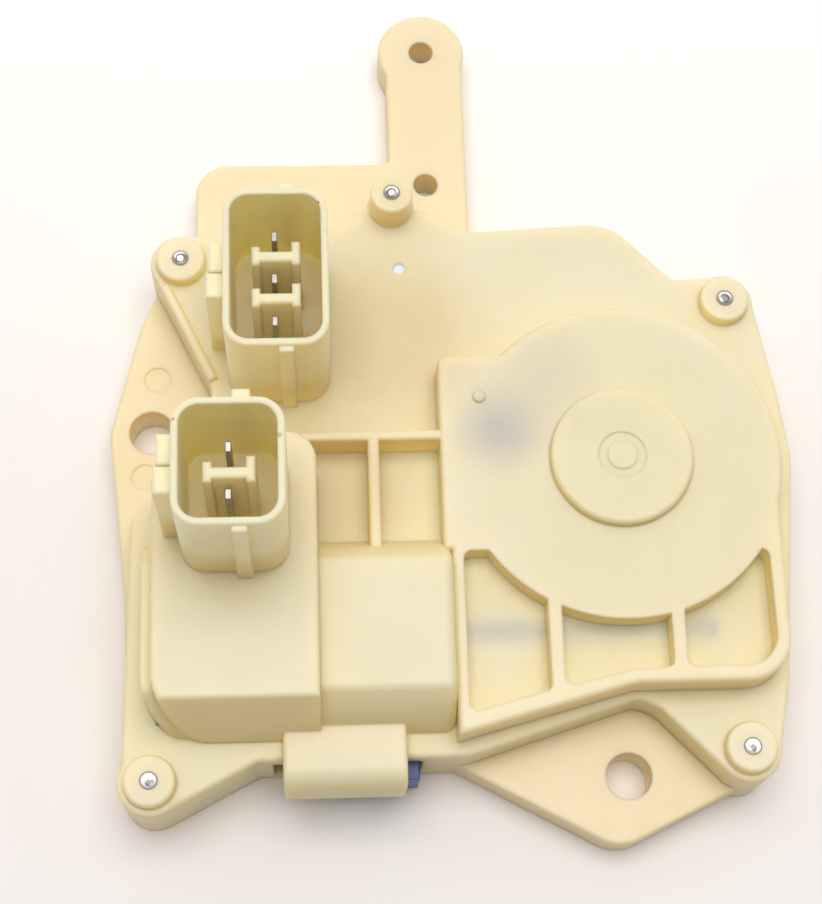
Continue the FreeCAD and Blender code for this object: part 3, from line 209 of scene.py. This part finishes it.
# Fine scratches along one direction, with stains
def makeMetalSurface(look):
    tree, given, end = newGroup("metalSurface", [
        ("Tint", "Color", white), ("Stain", "Color", grey), ("Scratch size", "Float", 900.0),
        ("Stretch", "Vector", (1, 1, 12)), ("Roughness", "Float", 0.3)],
        [("Colour", "Color"), ("Roughness", "Float"), ("Height", "Float")])
    place = addNode(tree, "ShaderNodeTexCoord", (-1400, 0))
    here = place.outputs["Object"]
    stretch = addNode(tree, "ShaderNodeVectorMath", (-1200, 200), operation="DIVIDE")
    feed(tree, stretch, {0: here, 1: given["Stretch"]})
    scratch = noiseNode(tree, (-1000, 200), stretch.outputs["Vector"], given["Scratch size"],
                        Detail=5.0, Roughness=0.7)
    stain = noiseNode(tree, (-1000, -100), here, look["stainSize"], Detail=4.0)
    amount = rangeNode(tree, (-700, -100), stain, look["stain"], (0.0, look["stainMost"]))
    colour = mixColour(tree, (-400, 100), amount, given["Tint"], given["Stain"])
    swing = look["roughSwing"]
    least = mathNode(tree, (-600, -300), "SUBTRACT", given["Roughness"], swing / 2)
    rough = mathNode(tree, (-400, -200), "MULTIPLY_ADD", scratch, swing, least)
    feed(tree, end, {"Colour": colour, "Roughness": rough, "Height": scratch})
    return tree


plasticWithPaintedShade = makePlasticWithPaintedShade(moulding)
metalSurface = makeMetalSurface(metalWear)
softSpot = makeSoftSpot(spotWaver)


# A surface group drives the Principled shader, with plain values on the shader itself
def newMaterial(name, group, values, shader, bump):
    material = bpy.data.materials.new(name)
    material.use_nodes = True
    tree = material.node_tree
    surface = tree.nodes["Principled BSDF"]
    feed(tree, surface, shader)
    skin = addNode(tree, "ShaderNodeGroup", (-700, 200), node_tree=group)
    feed(tree, skin, values)
    relief = addNode(tree, "ShaderNodeBump", (-300, -300), Strength=bump["strength"], Distance=bump["depth"])
    feed(tree, relief, {"Height": skin.outputs["Height"]})
    if "round" in bump:
        soft = addNode(tree, "ShaderNodeBevel", (-500, -500), samples=6, Radius=bump["round"])
        feed(tree, relief, {"Normal": soft.outputs["Normal"]})
    feed(tree, surface, {"Normal": relief.outputs["Normal"], "Roughness": skin.outputs["Roughness"],
                         "Base Color": skin.outputs["Colour"]})
    return material


fineGrain = {"strength": 0.25, "depth": 0.00004}
fineScratch = {"strength": 0.2, "depth": 0.00002}
mouldedEdge = {"strength": 0.25, "depth": 0.00004, "round": 0.0006}

# A plastic that names no painted hollow colour uses its cloud and painted shade colour there; the cover's
# and the case's paler ones are painted light
plastics = {
    "coverPlastic": {
        "values": {"Tint": (0.95, 0.79, 0.57, 1), "Cloud and painted shade": (0.80, 0.63, 0.22, 1),
                   "Painted hollow": (1.0, 0.89, 0.54, 1), "Cloud size": 28.0, "Cloud amount": 0.30,
                   "Grain size": 1400.0, "Recess reach": 0.010, "Painted wall shade": 0.55, "Roughness": 0.42},
        "shader": {"Subsurface Weight": 0.6, "Subsurface Radius": (1.0, 0.68, 0.30),
                   "Subsurface Scale": 0.005, "IOR": 1.5},
        "bump": mouldedEdge,
    },
    "casePlastic": {
        "values": {"Tint": (0.93, 0.79, 0.55, 1), "Cloud and painted shade": (0.80, 0.60, 0.27, 1),
                   "Painted hollow": (0.95, 0.80, 0.50, 1), "Cloud size": 34.0, "Cloud amount": 0.35,
                   "Grain size": 1400.0, "Recess reach": 0.010, "Painted wall shade": 0.55, "Roughness": 0.45},
        "shader": {"Subsurface Weight": 0.5, "Subsurface Radius": (1.0, 0.70, 0.30),
                   "Subsurface Scale": 0.005, "IOR": 1.5},
        "bump": mouldedEdge,
    },
    "bluePlastic": {
        "values": {"Tint": (0.018, 0.05, 0.26, 1), "Cloud and painted shade": (0.015, 0.04, 0.20, 1), "Cloud size": 60.0,
                   "Cloud amount": 0.6, "Grain size": 1600.0, "Recess reach": 0.004, "Roughness": 0.34},
        "shader": {"IOR": 1.5},
    },
    "whitePlastic": {
        "values": {"Tint": (0.80, 0.79, 0.74, 1), "Cloud and painted shade": (0.66, 0.63, 0.55, 1), "Cloud size": 50.0,
                   "Cloud amount": 0.4, "Grain size": 1500.0, "Recess reach": 0.003, "Roughness": 0.36},
        "shader": {"Subsurface Weight": 0.15, "Subsurface Scale": 0.002, "IOR": 1.48},
    },
    "blackPlastic": {
        "values": {"Tint": (0.022, 0.022, 0.024, 1), "Cloud and painted shade": (0.012, 0.012, 0.013, 1), "Cloud size": 80.0,
                   "Cloud amount": 0.7, "Grain size": 1800.0, "Recess reach": 0.003, "Roughness": 0.48},
        "shader": {"IOR": 1.5},
    },
    "bumperRubber": {
        "values": {"Tint": (0.018, 0.018, 0.018, 1), "Cloud and painted shade": (0.035, 0.034, 0.032, 1), "Cloud size": 300.0,
                   "Cloud amount": 0.8, "Grain size": 2500.0, "Recess reach": 0.002, "Roughness": 0.75},
        "shader": {"IOR": 1.5, "Sheen Weight": 0.15},
    },
    "brushCarbon": {
        "values": {"Tint": (0.03, 0.03, 0.032, 1), "Cloud and painted shade": (0.015, 0.015, 0.016, 1), "Cloud size": 900.0,
                   "Cloud amount": 0.9, "Grain size": 3500.0, "Recess reach": 0.002, "Roughness": 0.6},
        "shader": {"IOR": 1.6},
    },
    "ferrite": {
        "values": {"Tint": (0.045, 0.045, 0.05, 1), "Cloud and painted shade": (0.025, 0.025, 0.028, 1), "Cloud size": 500.0,
                   "Cloud amount": 0.7, "Grain size": 2600.0, "Recess reach": 0.002, "Roughness": 0.55},
        "shader": {"IOR": 1.8},
    },
}

# Tint, stain, scratch size, how far the scratches stretch along each axis, and roughness
metals = {
    "zincSteel": ((0.50, 0.49, 0.48, 1), (0.16, 0.15, 0.14, 1), 1400.0, (1, 1, 3), 0.34),
    "platedSteel": ((0.56, 0.56, 0.54, 1), (0.40, 0.40, 0.38, 1), 500.0, (10, 1, 1), 0.38),
    "brightSteel": ((0.60, 0.60, 0.61, 1), (0.45, 0.45, 0.45, 1), 900.0, (1, 1, 12), 0.24),
    "laminationSteel": ((0.30, 0.30, 0.32, 1), (0.16, 0.15, 0.15, 1), 2400.0, (0.2, 4, 4), 0.42),
    "bronze": ((0.52, 0.32, 0.14, 1), (0.34, 0.20, 0.09, 1), 1800.0, (1, 1, 1), 0.45),
    "copperBars": ((0.72, 0.36, 0.20, 1), (0.40, 0.18, 0.10, 1), 1500.0, (0.3, 3, 3), 0.30),
    "terminalMetal": ((0.42, 0.41, 0.39, 1), (0.18, 0.16, 0.13, 1), 1500.0, (1, 1, 6), 0.42),
    "springSteel": ((0.34, 0.34, 0.35, 1), (0.20, 0.19, 0.18, 1), 1500.0, (4, 4, 1), 0.36),
}
materials = {}
for name, recipe in plastics.items():
    values = {"Painted hollow": recipe["values"]["Cloud and painted shade"], **recipe["values"]}
    bump = recipe.get("bump", fineGrain)
    materials[name] = newMaterial(name, plasticWithPaintedShade, values, recipe["shader"], bump)
for name, (tint, stain, size, stretch, rough) in metals.items():
    values = {"Tint": tint, "Stain": stain, "Scratch size": size, "Stretch": stretch, "Roughness": rough}
    materials[name] = newMaterial(name, metalSurface, values, {"Metallic": 1.0}, fineScratch)

# Patches of colour on the cover: painted shade of the lever and the wheel under its thin wall, of the flange
# and the strip room, painted light on the thin socket walls, marks on their rims, a near-white spot and a
# dark rim round each screw end.
# Each has its centre, inner and outer reach in mm, colour, strength and how far its edge wavers
coverSpots = {
    # Painted shade of the lever and the wheel under the thin wall, and over the flange
    "leverShade": ((-17.6, 49.2, 19.5), 0.5, 9.0, (0.42, 0.44, 0.46, 1), 0.70, 0.3),
    "wheelShade": ((-10.5, 56.0, 19.5), 2.0, 12.0, (0.62, 0.58, 0.46, 1), 0.45, 0.4),
    "flangeShade": ((-33.0, 66.0, 13.5), 4.0, 20.0, (0.70, 0.55, 0.30, 1), 0.75, 0.4),
    # Painted light that the thin socket walls let through
    "switchShroud": ((-49.9, 68.4, 29.0), 12.5, 16.5, (1.0, 0.86, 0.56, 1), 1.0, 0.1),
    "motorShroudPaintedLight": ((-56.1, 35.3, 42.5), 11.0, 15.0, (1.0, 0.86, 0.56, 1), 1.0, 0.1),
    "switchRimMark": ((-43.81, 78.02, 36.5), 0.15, 0.4, (0.10, 0.08, 0.06, 1), 0.85, 0.6),
    "motorRimMark": ((-63.22, 41.05, 49.0), 0.1, 0.35, (0.16, 0.13, 0.10, 1), 0.7, 0.6),
    "motorRimScuff": ((-49.35, 38.6, 49.0), 0.15, 0.5, (0.30, 0.26, 0.20, 1), 0.6, 0.9),
    # Painted shade in the strip room
    "stripRoomShade": ((-42.0, 41.4, 13.0), 5.0, 15.0, (0.66, 0.50, 0.26, 1), 0.5, 0.3),
    "nearWhiteSpot": ((-31.45, 77.9, 13.2), 0.9, 1.15, (1.0, 1.0, 0.96, 1), 1.0, 0.1),
}
screwRim = (1.22, 1.42, (0.25, 0.17, 0.08, 1), 0.75, 0.1)

# Where the five screws come out at the tops of their bosses, in mm
screwSpots = [(-64.8, 79.2, 15.5), (18.25, 71.3, 15.5), (16.6, 2.3, 15.5), (-68.8, -0.45, 15.5),
              (-32.4, 88.1, 19.0)]
for number, spot in enumerate(screwSpots):
    coverSpots["screwRim%d" % number] = (spot, *screwRim)


# Chains the spots between the surface group's colour and the shader
def addSpots(material, spots):
    tree = material.node_tree
    surface = tree.nodes["Principled BSDF"]
    colour = surface.inputs["Base Color"].links[0].from_socket
    for step, (name, (centre, inner, outer, tint, amount, waver)) in enumerate(spots.items()):
        patch = addNode(tree, "ShaderNodeGroup", (-650 + 60 * step, 500), node_tree=softSpot, name=name)
        feed(tree, patch, {"Colour": colour, "Spot": tint, "Centre": [value * mm for value in centre],
                           "Inner": inner * mm, "Outer": outer * mm, "Waver": waver, "Amount": amount})
        colour = patch.outputs["Colour"]
    tree.links.new(colour, surface.inputs["Base Color"])


addSpots(materials["coverPlastic"], coverSpots)
print("materials made:", len(materials))

finishes = {
    "front_cover": "coverPlastic", "rear_case": "casePlastic", "case_screws": "zincSteel",
    "motor_can": "platedSteel", "motor_end_cap": "blackPlastic", "motor_bushes": "bronze",
    "motor_magnets": "ferrite", "motor_shaft": "brightSteel", "armature_core": "laminationSteel",
    "armature_coils": "copperBars", "commutator": "copperBars", "motor_brushes": "brushCarbon",
    "worm": "whitePlastic", "worm_wheel": "whitePlastic", "wheel_axle": "brightSteel",
    "lock_lever": "bluePlastic", "lever_pivot_pin": "brightSteel", "switch_wiper": "bronze",
    "lock_slider": "bluePlastic", "contact_plate": "blackPlastic", "motor_tabs": "terminalMetal",
    "centring_spring": "springSteel", "stop_bumpers": "bumperRubber",
}

# Width in mm and segments of each rounded edge
softEdges = {
    "lock_slider": (0.2, 2), "lock_lever": (0.2, 2), "motor_end_cap": (0.2, 2), "motor_can": (0.4, 3),
    "stop_bumpers": (0.3, 2), "contact_plate": (0.15, 2),
}
pins = ("switch_terminal_1", "switch_terminal_2", "switch_terminal_3", "motor_feed_1", "motor_feed_2")
pinEdge = (0.2, 3)
for name in pins:
    finishes[name] = "terminalMetal"
    softEdges[name] = pinEdge

# Corners within the join distance, in m, become one, and edges that turn by more than the angle are rounded
edgeLook = {"join": 0.000002, "angle": 32}


def dressNode(node, finish):
    node.data.materials.clear()
    node.data.materials.append(materials[finish])


# Joins the loose triangles, then rounds the edges
def softenEdges(node, width, segments):
    weld = node.modifiers.new("joinTriangles", "WELD")
    weld.merge_threshold = edgeLook["join"]
    bevel = node.modifiers.new("softEdges", "BEVEL")
    bevel.width = width * mm
    bevel.segments = segments
    bevel.limit_method = "ANGLE"
    bevel.angle_limit = math.radians(edgeLook["angle"])
    bevel.harden_normals = True
    bevel.use_clamp_overlap = True


for name, node in nodes.items():
    dressNode(node, finishes[name])
    if name in softEdges:
        softenEdges(node, *softEdges[name])
print("nodes dressed")

# Screw ends: rough, snapped metal faces that fill the holes in the bosses, in mm and degrees
screwEnds = {"radius": 1.15, "taper": 0.08, "long": 0.9, "proud": 0.04, "sides": 28, "rim": 0.3,
             "sink": 0.16, "tilt": 11, "nubRim": 0.28, "nubRise": 0.12, "turns": (20, 75, 140, 215, 300)}


def addScrewEnds(sizes):
    shape = bmesh.new()
    low = sizes["radius"] * mm
    high = (sizes["radius"] - sizes["taper"]) * mm
    for (x, y, top), turn in zip(screwSpots, sizes["turns"]):
        middle = top + sizes["proud"] - sizes["long"] / 2
        made = bmesh.ops.create_cone(shape, cap_ends=True, segments=sizes["sides"], radius1=low,
                                     radius2=high, depth=sizes["long"] * mm,
                                     matrix=Matrix.Translation((x * mm, y * mm, middle * mm)))
        faces = {face for vert in made["verts"] for face in vert.link_faces}
        face = max(faces, key=lambda face: face.calc_center_median().z)
        bmesh.ops.inset_individual(shape, faces=[face], thickness=sizes["rim"] * mm,
                                   depth=-sizes["sink"] * mm)
        rough = (Matrix.Rotation(math.radians(turn), 4, "Z")
                 @ Matrix.Rotation(math.radians(sizes["tilt"]), 4, "X"))
        bmesh.ops.transform(shape, matrix=rough, space=Matrix.Translation(-face.calc_center_median()),
                            verts=face.verts)
        bmesh.ops.inset_individual(shape, faces=[face], thickness=sizes["nubRim"] * mm,
                                   depth=sizes["nubRise"] * mm)
    mesh = bpy.data.meshes.new("screwEnds")
    shape.to_mesh(mesh)
    shape.free()
    ends = bpy.data.objects.new("screwEnds", mesh)
    bpy.context.collection.objects.link(ends)
    mesh.materials.append(materials["zincSteel"])
    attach(ends, "housing")


addScrewEnds(screwEnds)
print("screw ends made")

# White table, in m, with painted shade: a little greyer near the camera than far from it
table = {"size": 4.0, "drop": 0.0002, "roughness": 0.6, "fade": (0.04, 0.13), "near": (0.90, 0.86, 0.85, 1)}


def addTable(look):
    mesh = bpy.data.meshes.new("tableTop")
    shape = bmesh.new()
    bmesh.ops.create_grid(shape, x_segments=1, y_segments=1, size=look["size"])
    bmesh.ops.translate(shape, verts=shape.verts, vec=(0, 0, -look["drop"]))
    shape.to_mesh(mesh)
    shape.free()
    top = bpy.data.objects.new("tableTop", mesh)
    bpy.context.collection.objects.link(top)
    material = bpy.data.materials.new("tableWhitePaintedShade")
    material.use_nodes = True
    tree = material.node_tree
    place = addNode(tree, "ShaderNodeTexCoord", (-900, 0))
    apart = addNode(tree, "ShaderNodeSeparateXYZ", (-700, 0))
    feed(tree, apart, {"Vector": place.outputs["Object"]})
    far = rangeNode(tree, (-500, 0), apart.outputs["Y"], look["fade"], (0.0, 1.0))
    feed(tree, tree.nodes["Principled BSDF"], {
        "Roughness": look["roughness"], "Base Color": mixColour(tree, (-300, 0), far, look["near"], white)})
    mesh.materials.append(material)


addTable(table)

# One large soft panel overhead
skyPanel = {"place": (-0.02, 0.20, 2.10), "aim": (-0.03, 0.05, 0.0), "size": (1.7, 1.5), "power": 29.0,
            "colour": (1.0, 0.985, 0.965)}


def addAreaLamp(name, look):
    data = bpy.data.lights.new(name, "AREA")
    data.shape = "RECTANGLE"
    data.size, data.size_y = look["size"]
    data.energy = look["power"]
    data.color = look["colour"]
    lamp = bpy.data.objects.new(name, data)
    lamp.location = look["place"]
    lamp.rotation_euler = (Vector(look["aim"]) - Vector(look["place"])).to_track_quat("-Z", "Y").to_euler()
    bpy.context.collection.objects.link(lamp)


addAreaLamp("skyPanel", skyPanel)

# White studio walls all round, dimmer on the camera's side
studio = {"colour": (1.0, 0.99, 0.97, 1), "fade": (-0.6, 0.5), "front": 0.16, "back": 0.72}


def addStudio(look):
    world = bpy.data.worlds.new("studio")
    world.use_nodes = True
    tree = world.node_tree
    place = addNode(tree, "ShaderNodeTexCoord", (-900, 0))
    apart = addNode(tree, "ShaderNodeSeparateXYZ", (-700, 0))
    feed(tree, apart, {"Vector": place.outputs["Generated"]})
    strength = rangeNode(tree, (-500, 0), apart.outputs["Y"], look["fade"], (look["front"], look["back"]))
    feed(tree, tree.nodes["Background"], {"Color": look["colour"], "Strength": strength})
    bpy.context.scene.world = world


addStudio(studio)
bpy.context.scene.view_settings.view_transform = "Standard"
print("scene lit")
